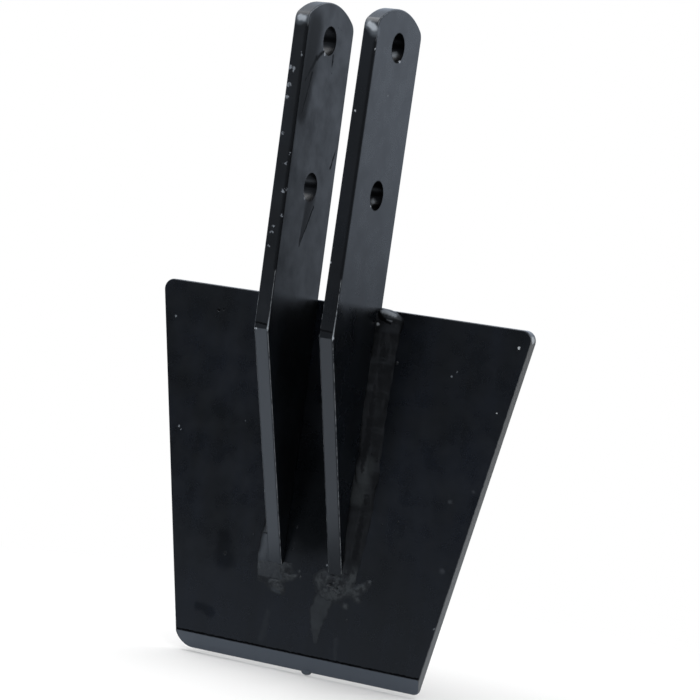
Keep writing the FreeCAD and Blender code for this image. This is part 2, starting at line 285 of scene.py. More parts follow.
RIGHT_BEAD = [(-1, 11.0, 5.6, 2.3, 0), (5, 11.4, 5.6, 2.2, 0), (11, 10.4, 4.9, 1.5, 0), (20, 9.9, 4.6, 1.25, 0),
              (45, 9.4, 4.9, 1.2, 0), (60, 9.6, 4.3, 1.25, 0), (72, 9.7, 2.9, 1.35, 0), (82, 10.6, 5.0, 1.3, 0),
              (93, 10.3, 4.8, 1.35, 0), (109, 9.6, 4.0, 1.25, 0), (117, 8.6, 3.2, 1.3, 0), (124, 7.6, 2.6, 1.4, 0),
              (134, 6.2, 1.9, 1.6, 0)]
LEFT_BEAD = [(-1, 8.0, 5.2, 2.2, 0), (6, 8.0, 5.2, 2.0, 0), (14, 7.4, 4.9, 1.3, 0), (60, 7.0, 4.7, 1.25, 0),
             (96, 6.0, 4.9, 1.3, 0), (106, 5.2, 4.9, 1.4, 0.2), (114, 4.9, 7.0, 2.0, 0.8), (121, 5.6, 12.0, 3.6, 1.4),
             (127, 6.3, 12.0, 5.0, 1.4), (131, 6.3, 12.0, 5.0, 1.4), (138, 5.8, 12.0, 5.0, 1.4)]
RIGHT_SPLASH = [(14.6, 134.2, 6.2, 4.6, 0, 1.25), (15.6, 139.0, 4.6, 3.8, 0, 0.75), (10.0, 132.6, 4.2, 2.6, 20, 0.6),
                (20.6, 132.0, 4.0, 3.6, 0, 0.8), (26.0, 136.4, 5.0, 2.4, 12, 0.62), (31.2, 133.4, 3.6, 1.7, 38, 0.58),
                (33.9, 130.7, 0.9, 0.9, 0, 0.8), (29.0, 140.0, 2.4, 1.6, -15, 0.42), (23.4, 144.2, 2.2, 1.5, 0, 0.50),
                (10.8, 138.8, 3.4, 2.6, 60, 0.35), (14.1, 135.0, 0.9, 0.7, 0, -1.2), (17.6, 136.3, 1.0, 0.8, 20, -1.1),
                (19.4, 137.6, 0.7, 0.6, 0, -0.8), (16.2, 133.4, 0.5, 0.5, 0, -0.6)]
LEFT_SPLASH = [(-19.4, 132.6, 7.2, 4.4, 0, 4.2), (-15.6, 141.0, 2.9, 2.4, 0, 0.9), (-12.4, 142.2, 2.4, 1.9, -35, 0.7),
               (-9.8, 135.2, 3.2, 1.0, -16, 0.55), (-5.8, 134.6, 2.2, 0.9, 20, 0.45),
               (-3.6, 131.8, 0.7, 0.8, 0, 0.4)]

right_weld = make_piece("right_weld_bead", [
    (bead(1, RIGHT_BEAD, 136.4, seed=11, restart=88.0), True),
    (splash(RIGHT_SPLASH, (4.0, 38.0, 125.5, 148.5), seed=5), True),
])
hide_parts("right_weld")
left_weld = make_piece("left_weld_bead", [
    (bead(-1, LEFT_BEAD, 138.2, seed=23, restart=60.0), True),
    (splash(LEFT_SPLASH, (-25.6, -1.0, 128.6, 147.5), seed=8, ground_beyond=-13.4, spared=(-19.6, 137.6)), True),
])
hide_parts("left_weld")

# %% [markdown]
# ## Spatter and the run of paint
#
# A wire welder throws out beads of metal that freeze on the plate. Most are chipped off, and a few stay and
# are painted over. The spade was dipped and hung to drain, and paint that had gathered round the right tip
# ran down to the foot, where the last of it hardened as a drip under the cutting edge. The run is a thin flat
# tongue with soft sides. Its height over the plate is a function of the place along and across a bent path,
# so it is a small surface of its own, and the light finds its edges as it does on the real one.

# %% Beads of spatter
def spatter_bead(x, depth, radius):
    """Half-sunk ball: a dome of the given radius whose height is 0.6 of it."""
    rings, spokes = 7, 16
    r = np.sin(np.linspace(0, np.pi / 2, rings))[:, None]
    angle = np.linspace(0, 2 * np.pi, spokes, endpoint=False)[None, :]
    y = -0.6 * radius * np.sqrt(np.clip(1 - r ** 2, 0, 1)) + np.zeros_like(angle)
    front = np.stack([x + radius * r * np.cos(angle), y + 0.1, -depth + radius * r * np.sin(angle)], axis=-1)
    rear = front[::-1].copy()
    rear[..., 1] = 0.2
    return np.concatenate([front, rear], axis=0) * MM + np.array([0.0, FACE, TOP])


# Chosen from the photograph: across from the middle plane, below the plate's top edge, and radius
SPATTER = [
    (32.4, 24.4, 1.0), (-8.6, 121.6, 0.8), (-8.1, 110.7, 0.8), (-8.4, 118.6, 0.5), (36.4, 102.1, 0.6),
    (44.5, 99.3, 0.6), (-2.6, 134.4, 0.7), (25.0, 150.5, 0.6), (-31.0, 118.0, 0.5),
]
spatter = make_piece("weld_spatter", [(spatter_bead(*bead_of_metal), True) for bead_of_metal in SPATTER])


# %% The run of paint
def paint_tongue(path, half_widths, height, columns=31, rows=140, seed=3):
    """Thin tongue along a bent path on the plate, all in millimetres: x and depth below the top edge.

    The path and half widths are joined smoothly. Across it the height is flat and falls to the plate over
    the outer third as half a cosine, and along it both ends run out over a tenth of the length."""
    path = np.array(path, float)
    run = np.linspace(0, 1, len(path))
    t = np.linspace(0, 1, rows)
    x = smooth_through(t, run, path[:, 0], 0.16)
    z = -smooth_through(t, run, path[:, 1], 0.16)
    width = smooth_through(t, run, half_widths, 0.12) * (1 + 0.12 * wander(t, (0.31, 0.17), seed))
    along = np.stack([np.gradient(x), np.gradient(z)])
    along = along / np.hypot(*along)
    v = np.linspace(-1, 1, columns)[None, :]
    px = x[:, None] + along[1][:, None] * v * width[:, None]
    pz = z[:, None] - along[0][:, None] * v * width[:, None]
    ends = np.clip(np.minimum(t, 1 - t) / 0.1, 0, 1)[:, None] ** 0.5
    side_fall = 0.5 - 0.5 * np.cos(np.pi * np.clip((1 - np.abs(v)) / 0.4, 0, 1))
    y = -height * side_fall * ends * (1 + 0.2 * wander(t, (0.23, 0.11), seed + 1)[:, None])
    front = np.stack([px, y + 0.02, pz], axis=-1)
    rear = front[:, ::-1].copy()
    rear[..., 1] = 0.2
    return np.concatenate([front, rear], axis=1) * MM + np.array([0.0, FACE, TOP])


run_of_paint = make_piece("paint_run", [
    (paint_tongue([(13.6, 138.5), (10.6, 145.0), (9.4, 151.0), (9.3, 157.0), (9.8, 161.0), (10.2, 165.0)],
                  (5.0, 6.0, 5.2, 3.3, 1.9, 0.9), 0.16), True),
])

# %% [markdown]
# ## The paint
#
# The whole spade wears one coat: black chassis enamel, an alkyd paint into which the welded part is dipped. It
# is hung up to drain and stoved. Such a coat is glossy but thin. It shows the rolled skin of the steel as slow
# waves, it dries with the fine dimples that painters call orange peel, and it drains in faint vertical bands.
# Over sharp edges it pulls thin and rubs through first. A flat black would look like a hole in the picture, so
# the paint is built from what the eye reads on it: two close blacks in clouds, uneven gloss, and low relief.
#
# Relief is worked out in metres and goes into one Bump node with a distance of 1, so that each amplitude in
# the code is a real height. The grey of rubbed edges is found from the surface's own direction: on a fillet
# the normal is between those of the two faces that it joins.

# %% Starting a paint and closing it
def start_paint(name, deep, pale, cloud, gloss, peel, wave):
    """The coat that all finishes share. Returns the material and a dictionary of its sockets.

    deep and pale are its two blacks, cloud the size of their patches, gloss the lowest and highest roughness,
    and peel and wave the heights of the orange peel and of the steel's slow waves."""
    material = bpy.data.materials.new(name)
    material.use_nodes = True
    tree = material.node_tree
    tree.nodes.clear()
    shader = add(tree, "ShaderNodeBsdfPrincipled", {"IOR": 1.5})
    add(tree, "ShaderNodeOutputMaterial", {"Surface": shader.outputs["BSDF"]})
    texture = add(tree, "ShaderNodeTexCoord")
    place, normal = texture.outputs["Object"], texture.outputs["Normal"]
    clouds = add(tree, "ShaderNodeTexNoise", {"Vector": place, "Scale": 1 / cloud, "Detail": 2.0})
    bands_place = add(tree, "ShaderNodeMapping", {"Vector": place, "Scale": (1.0, 1.0, 0.10)})
    bands = add(tree, "ShaderNodeTexNoise", {"Vector": bands_place.outputs[0], "Scale": 1 / (7 * MM), "Detail": 2.0})
    both = add(tree, "ShaderNodeMix", {0: 0.35, 2: clouds.outputs[0], 3: bands.outputs[0]}, data_type="FLOAT")
    tone = add(tree, "ShaderNodeMapRange", {"Value": both.outputs[0], "From Min": 0.32, "From Max": 0.68},
               interpolation_type="SMOOTHSTEP")
    colour = add(tree, "ShaderNodeMix", {0: tone.outputs[0], 6: linear(deep), 7: linear(pale)}, data_type="RGBA")
    rub = add(tree, "ShaderNodeTexNoise", {"Vector": place, "Scale": 1 / (13 * MM), "Detail": 4.0, "Roughness": 0.6})
    rough = add(tree, "ShaderNodeMapRange", {"Value": rub.outputs[0], "From Min": 0.35, "From Max": 0.65,
                                             "To Min": gloss[0], "To Max": gloss[1]})
    fine = add(tree, "ShaderNodeTexNoise", {"Vector": place, "Scale": 1 / (1.5 * MM), "Detail": 1.5})
    slow = add(tree, "ShaderNodeTexNoise", {"Vector": place, "Scale": 1 / (12 * MM), "Detail": 1.0})
    fine_height = add(tree, "ShaderNodeMath", {0: fine.outputs[0], 1: peel}, operation="MULTIPLY")
    height = add(tree, "ShaderNodeMath", {0: slow.outputs[0], 1: wave, 2: fine_height.outputs[0]},
                 operation="MULTIPLY_ADD")
    mirror = add(tree, "ShaderNodeValue")
    mirror.outputs[0].default_value = 0.5
    return material, {"tree": tree, "shader": shader, "place": place, "normal": normal, "mirror": mirror.outputs[0],
                      "colour": colour.outputs[2], "rough": rough.outputs[0], "height": height.outputs[0]}


def lay_over(paint, mask, colour=None, rough=None, height=None, mirror=None):
    """Where the mask is 1, the colour, roughness and mirroring are these, and the relief is raised by the height."""
    tree = paint["tree"]
    if colour is not None:
        mixed = add(tree, "ShaderNodeMix", {0: mask, 6: paint["colour"], 7: linear(colour)}, data_type="RGBA")
        paint["colour"] = mixed.outputs[2]
    if rough is not None:
        mixed = add(tree, "ShaderNodeMix", {0: mask, 2: paint["rough"], 3: rough}, data_type="FLOAT")
        paint["rough"] = mixed.outputs[0]
    if height is not None:
        raised = add(tree, "ShaderNodeMath", {0: mask, 1: height, 2: paint["height"]}, operation="MULTIPLY_ADD")
        paint["height"] = raised.outputs[0]
    if mirror is not None:
        mixed = add(tree, "ShaderNodeMix", {0: mask, 2: paint["mirror"], 3: mirror}, data_type="FLOAT")
        paint["mirror"] = mixed.outputs[0]


def close_paint(paint):
    """Joins colour, roughness, relief and mirroring to the shader."""
    tree, shader = paint["tree"], paint["shader"]
    bump = add(tree, "ShaderNodeBump", {"Height": paint["height"], "Distance": 1.0, "Strength": 1.0})
    tree.links.new(paint["colour"], shader.inputs["Base Color"])
    tree.links.new(paint["rough"], shader.inputs["Roughness"])
    tree.links.new(bump.outputs[0], shader.inputs["Normal"])
    tree.links.new(paint["mirror"], shader.inputs["Specular IOR Level"])


# %% [markdown]
# Wear is a mask: a number from 0 to 1 at each point. Four masks make all of it. The arris mask picks the
# fillets by the normal, and noise breaks it up. The grit mask is a Voronoi pattern whose cells each hold one
# speck, most of them switched off by the cell's own random number. Spots and strokes are placed where the
# photograph shows a chip, a pit or a sag of paint, as distances to a point or to a line.

# %% Masks for wear, grit, spots and strokes
def arris(paint, axis, amount, grain=2.4 * MM):
    """Fillets whose normal is between the axis and the plane across it, broken up by noise.

    With n the normal's part along the axis, the fillet is 4 n^2 (1 - n^2), which is 1 at 45 degrees."""
    tree = paint["tree"]
    parts = add(tree, "ShaderNodeSeparateXYZ", {0: paint["normal"]})
    squared = add(tree, "ShaderNodeMath", {0: parts.outputs[axis], 1: parts.outputs[axis]}, operation="MULTIPLY")
    other = add(tree, "ShaderNodeMath", {0: 1.0, 1: squared.outputs[0]}, operation="SUBTRACT")
    product = add(tree, "ShaderNodeMath", {0: squared.outputs[0], 1: other.outputs[0]}, operation="MULTIPLY")
    broken = add(tree, "ShaderNodeTexNoise", {"Vector": paint["place"], "Scale": 1 / grain, "Detail": 5.0,
                                              "Roughness": 0.7})
    pushed = add(tree, "ShaderNodeMath", {0: product.outputs[0], 1: 4.0, 2: broken.outputs[0]},
                 operation="MULTIPLY_ADD")
    mask = add(tree, "ShaderNodeMapRange", {"Value": pushed.outputs[0], "From Min": 1.62 - amount,
                                            "From Max": 1.78 - amount}, interpolation_type="SMOOTHSTEP")
    return mask.outputs[0]


def grit(paint, spacing, radius, share):
    """One round speck in each Voronoi cell, kept in the given share of the cells."""
    tree = paint["tree"]
    cells = add(tree, "ShaderNodeTexVoronoi", {"Vector": paint["place"], "Scale": 1 / spacing})
    speck = add(tree, "ShaderNodeMapRange", {"Value": cells.outputs["Distance"], "From Min": radius / spacing,
                                             "From Max": 0.6 * radius / spacing}, interpolation_type="SMOOTHSTEP")
    kept = add(tree, "ShaderNodeMath", {0: cells.outputs["Color"], 1: share}, operation="LESS_THAN")
    both = add(tree, "ShaderNodeMath", {0: speck.outputs[0], 1: kept.outputs[0]}, operation="MULTIPLY")
    return both.outputs[0]


def ragged_place(paint, amount, grain):
    """Object coordinates pushed about by noise, so that a round spot gets a torn rim."""
    tree = paint["tree"]
    push = add(tree, "ShaderNodeTexNoise", {"Vector": paint["place"], "Scale": 1 / grain, "Detail": 3.0})
    centred = add(tree, "ShaderNodeVectorMath", {0: push.outputs["Color"], 1: (0.5, 0.5, 0.5)}, operation="SUBTRACT")
    moved = add(tree, "ShaderNodeVectorMath", {0: centred.outputs[0], 1: (2 * amount,) * 3, 2: paint["place"]},
                operation="MULTIPLY_ADD")
    return moved.outputs[0]


def spots(paint, centres, amount=0.35 * MM, grain=1.1 * MM, core=0.55):
    """Torn spots: each centre is x, y, z and radius in millimetres, and the largest of them counts.

    A spot is full inside the core, a share of its radius, and fades from there to its rim."""
    tree = paint["tree"]
    place = ragged_place(paint, amount, grain)
    total = 0.0
    for x, y, z, radius in centres:
        away = add(tree, "ShaderNodeVectorMath", {0: place, 1: (x * MM, y * MM, z * MM)}, operation="DISTANCE")
        spot = add(tree, "ShaderNodeMapRange", {"Value": away.outputs["Value"], "From Min": radius * MM,
                                                "From Max": core * radius * MM}, interpolation_type="SMOOTHSTEP")
        larger = add(tree, "ShaderNodeMath", {0: spot.outputs[0], 1: total}, operation="MAXIMUM")
        total = larger.outputs[0]
    return total


def stroke(paint, start, finish, start_width, finish_width, amount=0.4 * MM, grain=3 * MM):
    """A tapered line from start to finish, points and half widths in millimetres.

    t is the place along the line, from 0 to 1, and the mask falls with the distance to the line divided by
    the half width there."""
    tree = paint["tree"]
    start, finish = np.array(start) * MM, np.array(finish) * MM
    run = finish - start
    place = ragged_place(paint, amount, grain)
    reach = add(tree, "ShaderNodeVectorMath", {0: place, 1: tuple(start)}, operation="SUBTRACT")
    along = add(tree, "ShaderNodeVectorMath", {0: reach.outputs[0], 1: tuple(run / (run @ run))},
                operation="DOT_PRODUCT")
    t = add(tree, "ShaderNodeClamp", {"Value": along.outputs["Value"]})
    nearest = add(tree, "ShaderNodeVectorMath", {0: tuple(run), "Scale": t.outputs[0]}, operation="SCALE")
    away = add(tree, "ShaderNodeVectorMath", {0: reach.outputs[0], 1: nearest.outputs[0]}, operation="DISTANCE")
    width = add(tree, "ShaderNodeMapRange", {"Value": t.outputs[0], "To Min": start_width * MM,
                                             "To Max": finish_width * MM})
    share = add(tree, "ShaderNodeMath", {0: away.outputs["Value"], 1: width.outputs[0]}, operation="DIVIDE")
    mask = add(tree, "ShaderNodeMapRange", {"Value": share.outputs[0], "From Min": 1.0, "From Max": 0.3},
               interpolation_type="SMOOTHSTEP")
    return mask.outputs[0]


def tilted_edge(paint, highest):
    """Cut faces that look forwards and down, below the level given: the front edges of the tapers."""
    tree = paint["tree"]
    facing = add(tree, "ShaderNodeSeparateXYZ", {0: paint["normal"]})
    place = add(tree, "ShaderNodeSeparateXYZ", {0: paint["place"]})
    down = add(tree, "ShaderNodeMapRange", {"Value": facing.outputs[2], "From Min": -0.20, "From Max": -0.32})
    forward = add(tree, "ShaderNodeMapRange", {"Value": facing.outputs[1], "From Min": -0.70, "From Max": -0.85})
    below = add(tree, "ShaderNodeMath", {0: place.outputs[2], 1: highest}, operation="LESS_THAN")
    cut = add(tree, "ShaderNodeMath", {0: down.outputs[0], 1: forward.outputs[0]}, operation="MULTIPLY")
    mask = add(tree, "ShaderNodeMath", {0: cut.outputs[0], 1: below.outputs[0]}, operation="MULTIPLY")
    return mask.outputs[0]


def in_bores(paint):
    """1 on the walls of the two bolt holes: closer to a hole's axis than its radius and a little more."""
    tree = paint["tree"]
    flat = add(tree, "ShaderNodeVectorMath", {0: paint["place"], 1: (0.0, 1.0, 1.0)}, operation="MULTIPLY")
    upper = add(tree, "ShaderNodeVectorMath", {0: flat.outputs[0], 1: (0.0, 0.0, 0.0)}, operation="DISTANCE")
    lower = add(tree, "ShaderNodeVectorMath", {0: flat.outputs[0], 1: (0.0, 0.0, -BOLT_PITCH)}, operation="DISTANCE")
    nearer = add(tree, "ShaderNodeMath", {0: upper.outputs["Value"], 1: lower.outputs["Value"]}, operation="MINIMUM")
    mask = add(tree, "ShaderNodeMath", {0: nearer.outputs[0], 1: BOLT_RADIUS + 0.3 * MM}, operation="LESS_THAN")
    return mask.outputs[0]


def dress(name, material):
    """Puts the material in every slot of a CAD node's object."""
    for index in range(len(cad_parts[name].material_slots)):
        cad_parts[name].material_slots[index].material = material
    print("%s wears %s, %d nodes" % (name, material.name, len(material.node_tree.nodes)))


# %% [markdown]
# ## The plate's finish
#
# The plate was sheared from hot-rolled sheet. Its faces keep the slow waves of the rolls, and its sides are
# sheared steel, rougher and paler, because the paint is thin there and handling has rubbed it. Its foot was
# ground to a bevel after welding, across the edge, and painted with the rest: the grinding lines show through
# as fine strokes, and the grey of the steel comes through the thin coat. Just above the bevel the paint stands
# in a thin dull ridge. Here and there on the plate it has dried dull, in patches that mirror little. Between the
# tips of the bars a wide patch is painted darker and mirrors little: a painted shade for the dark bars that the
# plate mirrors there.

# %% Chassis enamel on the plate
plate_paint, coat = start_paint("chassis_enamel_black_dipped", "#030508", "#080d16", 34 * MM, (0.24, 0.36),
                                0.008 * MM, 0.035 * MM)
tree = coat["tree"]
direction = add(tree, "ShaderNodeSeparateXYZ", {0: coat["normal"]})
position = add(tree, "ShaderNodeSeparateXYZ", {0: coat["place"]})

sheared_part = add(tree, "ShaderNodeMath", {0: direction.outputs[0]}, operation="ABSOLUTE")
sheared = add(tree, "ShaderNodeMapRange", {"Value": sheared_part.outputs[0], "From Min": 0.8, "From Max": 0.95})
shear_lines = add(tree, "ShaderNodeMapping", {"Vector": coat["place"], "Scale": (0.2, 0.2, 1.0)})
shear_noise = add(tree, "ShaderNodeTexNoise", {"Vector": shear_lines.outputs[0], "Scale": 1 / (0.9 * MM),
                                               "Detail": 3.0})
lay_over(coat, sheared.outputs[0], "#636464", 0.42)
shear_height = add(tree, "ShaderNodeMath", {0: sheared.outputs[0], 1: shear_noise.outputs[0]}, operation="MULTIPLY")
lay_over(coat, shear_height.outputs[0], height=0.05 * MM)

bevel = add(tree, "ShaderNodeMapRange", {"Value": direction.outputs[2], "From Min": -0.40, "From Max": -0.50})
in_foot = add(tree, "ShaderNodeMath", {0: position.outputs[2], 1: FOOT + 8.6 * MM}, operation="LESS_THAN")
ground = add(tree, "ShaderNodeMath", {0: bevel.outputs[0], 1: in_foot.outputs[0]}, operation="MULTIPLY")
grind_lines = add(tree, "ShaderNodeMapping", {"Vector": coat["place"], "Scale": (1.0, 0.1, 0.1)})
grind_noise = add(tree, "ShaderNodeTexNoise", {"Vector": grind_lines.outputs[0], "Scale": 1 / (0.7 * MM),
                                               "Detail": 4.0, "Roughness": 0.65})
lay_over(coat, ground.outputs[0], "#484f58", 0.46)
grind_height = add(tree, "ShaderNodeMath", {0: ground.outputs[0], 1: grind_noise.outputs[0]}, operation="MULTIPLY")
lay_over(coat, grind_height.outputs[0], height=0.012 * MM)

ridge_place = add(tree, "ShaderNodeSeparateXYZ", {0: ragged_place(coat, 0.6 * MM, 1.6 * MM)})
ridge_level = add(tree, "ShaderNodeMath", {0: ridge_place.outputs[2], 1: FOOT + 8.7 * MM, 2: 0.42 * MM},
                  operation="COMPARE")
on_front = add(tree, "ShaderNodeMath", {0: position.outputs[1], 1: FACE + 0.3 * MM}, operation="LESS_THAN")
ridge = add(tree, "ShaderNodeMath", {0: ridge_level.outputs[0], 1: on_front.outputs[0]}, operation="MULTIPLY")
lay_over(coat, ridge.outputs[0], "#020203", 0.5, 0.05 * MM, 0.06)
lay_over(coat, spots(coat, [(5.2, 29.2, -303.4, 3.2)], 0.4 * MM), "#484f58", 0.46)

not_ground = add(tree, "ShaderNodeMath", {0: 1.0, 1: ground.outputs[0]}, operation="SUBTRACT")
rubbed = add(tree, "ShaderNodeMath", {0: arris(coat, 1, 0.32), 1: not_ground.outputs[0]}, operation="MULTIPLY")
lay_over(coat, rubbed.outputs[0], "#54585b", 0.45)
lay_over(coat, grit(coat, 16 * MM, 0.26 * MM, 0.3), "#2c3036", 0.6, 0.05 * MM)
PLATE_CHIPS = [(93.3, 25, -131.5, 0.8), (98.9, 27.5, -127.0, 2.2), (86.8, 25, -163.4, 0.4), (-16.9, 25, -253.6, 0.5)]
lay_over(coat, spots(coat, PLATE_CHIPS, 0.7 * MM), "#a4a9ad", 0.6, -0.05 * MM)
FAINT_CHIPS = [(61.4, 25, -149.6, 0.7), (63.8, 25, -147.1, 0.4), (-90.3, 25, -141.3, 0.8), (-80.2, 25, -195.1, 0.8),
               (-78.9, 25, -196.4, 0.5), (10.6, 25, -249.1, 0.8), (-44.0, 25, -187.0, 0.4), (70.6, 25, -269.2, 0.6)]
lay_over(coat, spots(coat, FAINT_CHIPS, 0.7 * MM), "#5d6369", 0.6, -0.04 * MM)
PLATE_PITS = [(-66.8, 25, -135.1, 1.1), (-64.2, 25, -134.4, 0.7), (-45.0, 25, -253.0, 1.2), (16.5, 25, -259.0, 1.3)]
lay_over(coat, spots(coat, PLATE_PITS), "#050608", 0.5, -0.25 * MM, 0.08)
DUST = [(70.5, 25, -241.4, 2.0), (69.6, 25, -208.4, 1.7), (80.5, 25, -201.9, 1.3)]
lay_over(coat, spots(coat, DUST, 0.8 * MM, 1.6 * MM, 0.1), "#23272c", 0.5)
DULL = [((-56.0, 25, -281.5), (-48.5, 25, -283.0), 3.0, 3.8), ((-47.0, 25, -245.0), (-45.0, 25, -255.0), 5.5, 8.5)]
for start, finish, start_width, finish_width in DULL:
    dull = stroke(coat, start, finish, start_width, finish_width, 2.6 * MM, 5 * MM)
    lay_over(coat, dull, mirror=0.28)
# Painted shade between the tips of the bars: a darker colour and weak mirroring stand in for the dark bars mirrored
# there
painted_shade_between_tips = stroke(coat, (0.5, 25, -206.0), (1.0, 25, -233.0), 22.0, 19.0, 2.0 * MM, 6 * MM)
lay_over(coat, painted_shade_between_tips, "#030507", mirror=0.15)
DRAINED = [((20.9, 25, -283.9), (21.8, 25, -293.5), 2.0, 1.2), ((-17.2, 25, -277.5), (-19.0, 25, -291.0), 2.0, 2.8)]
for start, finish, start_width, finish_width in DRAINED:
    drained = stroke(coat, start, finish, start_width, finish_width, 1.7 * MM, 4 * MM)
    lay_over(coat, drained, "#12161b", 0.36, 0.05 * MM)
close_paint(coat)
dress("blade_plate", plate_paint)

# %% [markdown]
# ## The bars' finish
#
# Each bar is hot-rolled flat bar. The wide faces are smooth, and the coat on them is even, so they mirror the
# bright studio behind the spade as a cool grey. The narrow front edges mirror the dim part of the room. Below
# the kink they look down, into a light of their own, and their coat there is painted paler, a painted highlight.
# Pale grey painted highlights sit at the front corners of the round ends, on the arris above each kink, on the
# lips of the bolt holes and on the walls of the right bar's bores. A thin painted shadow lies just above each
# kink, and higher up the arris keeps its whole coat and mirrors less, a painted shade over its glint. The bores
# are painted near black and mirror little, a painted shade. The left bar is the rougher of the two: its front
# edge has lost flakes of paint along the left arris, and sags of paint hang from both of its bolt holes, which
# drained slowly when the spade was lifted from the dip.

# %% Chassis enamel on the left bar
left_paint, coat = start_paint("chassis_enamel_black_with_sags", "#06080b", "#0e1217", 22 * MM, (0.32, 0.46),
                               0.012 * MM, 0.06 * MM)
# Paler coat on the tapered front edges below the kink: a painted highlight for the light that they mirror
lay_over(coat, tilted_edge(coat, KINK), "#1d2227", 0.34)
# Painted shade in the bolt holes: near black and weakly mirroring
lay_over(coat, in_bores(coat), "#020203", 0.30, mirror=0.32)
LEFT_X = -13.6
SAGS = [
    ((-4.5, -5.5), (-11.4, -9.5), 1.2, 2.0), ((-11.4, -9.5), (-20.0, -21.0), 2.0, 0.8),
    ((-14.0, -17.0), (-19.5, -38.0), 1.4, 0.6), ((5.6, -6.5), (6.6, -14.5), 1.3, 0.5),
    ((22.2, -50.0), (18.8, -59.0), 0.6, 1.2), ((6.0, -79.0), (-4.0, -98.5), 1.0, 0.4),
]
for start, finish, start_width, finish_width in SAGS:
    sag = stroke(coat, (LEFT_X, *start), (LEFT_X, *finish), start_width, finish_width, 0.8 * MM)
    lay_over(coat, sag, "#030405", 0.74, 0.06 * MM, 0.24)
shade = stroke(coat, (LEFT_X, -17.0, 4.0), (LEFT_X, -19.5, -36.0), 11.0, 8.0, 1.0 * MM)
lay_over(coat, shade, "#030405", 0.60)
wedge = stroke(coat, (LEFT_X, 1.4, -76.0), (LEFT_X, -4.4, -98.0), 6.4, 1.2, 0.8 * MM)
lay_over(coat, wedge, "#050608", 0.62, -0.08 * MM)
HAIRLINE = stroke(coat, (LEFT_X, 6.7, 7.2), (LEFT_X, 18.6, 5.4), 0.8, 0.5, 0.3 * MM)
lay_over(coat, HAIRLINE, "#030304", 0.78, -0.10 * MM, 0.10)
lay_over(coat, arris(coat, 0, 0.30), "#62666a", 0.45)
# The arris above the kink keeps its whole coat, and its mirroring is cut: painted shade over the glint
whole_arris_painted_shade = stroke(coat, (-14.2, -25, 3.0), (-13.5, -25, -110.0), 2.2, 2.0, 0.3 * MM)
lay_over(coat, whole_arris_painted_shade, "#06080b", 0.46, mirror=0.24)
# Painted highlights on the lips of the bolt holes
PAINTED_LIP_HIGHLIGHTS = [(-14.0, -3.6, -6.6, 1.3), (-14.0, -5.4, -4.6, 0.8), (-14.4, -4.6, -75.4, 1.5), (-14.4, -6.0, -73.6, 0.9)]
lay_over(coat, spots(coat, PAINTED_LIP_HIGHLIGHTS, 0.6 * MM, 1.1 * MM, 0.2), "#b2b8c0", 0.45)
# Painted highlight at the front corner of the round end, pale grey, with a paler core
painted_highlight_corner = stroke(coat, (-19.0, -25, 6.8), (-16.0, -25, 7.2), 3.8, 3.0, 0.7 * MM, 2.2 * MM)
lay_over(coat, painted_highlight_corner, "#40464c", 0.4)
core = stroke(coat, (-18.9, -25, 7.5), (-17.0, -25, 7.4), 2.3, 2.0, 0.7 * MM, 2.2 * MM)
lay_over(coat, core, "#949ba3", 0.4)
FLAKES = [
    (-18.4, -25, -16.6, 1.5), (-20.6, -25, -16.1, 1.2), (-20.2, -25, -24.1, 1.5), (-20.3, -25, -30.2, 1.2),
    (-15.3, -25, -9.7, 0.8), (-16.1, -25, -60.9, 0.9), (-14.4, -25, -56.4, 0.6), (-15.4, -25, -74.0, 1.1),
    (-14.0, -25, -72.9, 0.8), (-14.1, -25, -85.4, 0.8), (-18.1, -25, -90.8, 0.9), (-18.1, -25, -93.7, 0.9),
    (-18.7, -25, -100.1, 0.8), (-19.4, -25, -47.0, 0.7), (-18.3, -22, -143.9, 0.7),
]
lay_over(coat, spots(coat, FLAKES, 1.9 * MM, 1.3 * MM, 0.5), "#6e747c", 0.6, -0.06 * MM)
# Painted shadow: a thin dark line just above the kink
painted_shadow_above_kink = stroke(coat, (-20.6, -25, KINK / MM + 2.6), (-13.6, -25, KINK / MM + 2.0), 0.6, 0.8, 0.4 * MM, 1.0 * MM)
lay_over(coat, painted_shadow_above_kink, "#020203", 0.6, mirror=0.12)
# Painted highlight along the arris just above the kink
painted_highlight_arris = stroke(coat, (-13.3, -25, KINK / MM - 1.0), (-12.9, -25, KINK / MM + 18), 0.9, 0.5, 0.3 * MM)
lay_over(coat, painted_highlight_arris, "#8d949b", 0.42)
LEFT_KINK = [(-20.7, -24.8, -139.6, 0.9), (-19.4, -24.9, -139.4, 0.5), (-13.5, -24.8, -138.8, 0.7)]
lay_over(coat, spots(coat, LEFT_KINK, 0.5 * MM, 0.9 * MM), "#9aa0a6", 0.5)
close_paint(coat)
dress("left_bar", left_paint)

# %% Chassis enamel on the right bar
right_paint, coat = start_paint("chassis_enamel_black_even", "#07090c", "#0d1116", 40 * MM, (0.24, 0.34),
                                0.008 * MM, 0.035 * MM)
# Paler coat on the tapered front edges below the kink: a painted highlight for the light that they mirror
lay_over(coat, tilted_edge(coat, KINK), "#0d1013", 0.36)
# Painted shade in the bolt holes: near black and weakly mirroring
lay_over(coat, in_bores(coat), "#020203", 0.30, mirror=0.12)
lay_over(coat, arris(coat, 0, 0.26), "#62666a", 0.45)
# The arris above the kink keeps its whole coat, and its mirroring is cut: painted shade over the glint
whole_arris_painted_shade = stroke(coat, (21.7, -25, -1.0), (21.0, -25, -110.0), 2.0, 1.8, 0.3 * MM)
lay_over(coat, whole_arris_painted_shade, "#07090c", 0.40, mirror=0.26)
# Painted highlights on the walls of the bolt holes
PAINTED_BORE_HIGHLIGHTS = [(17.2, 6.6, -3.0, 2.6), (16.8, 6.5, -72.8, 2.2)]
lay_over(coat, spots(coat, PAINTED_BORE_HIGHLIGHTS, 0.8 * MM, 1.6 * MM, 0.0), "#858b92", 0.45)
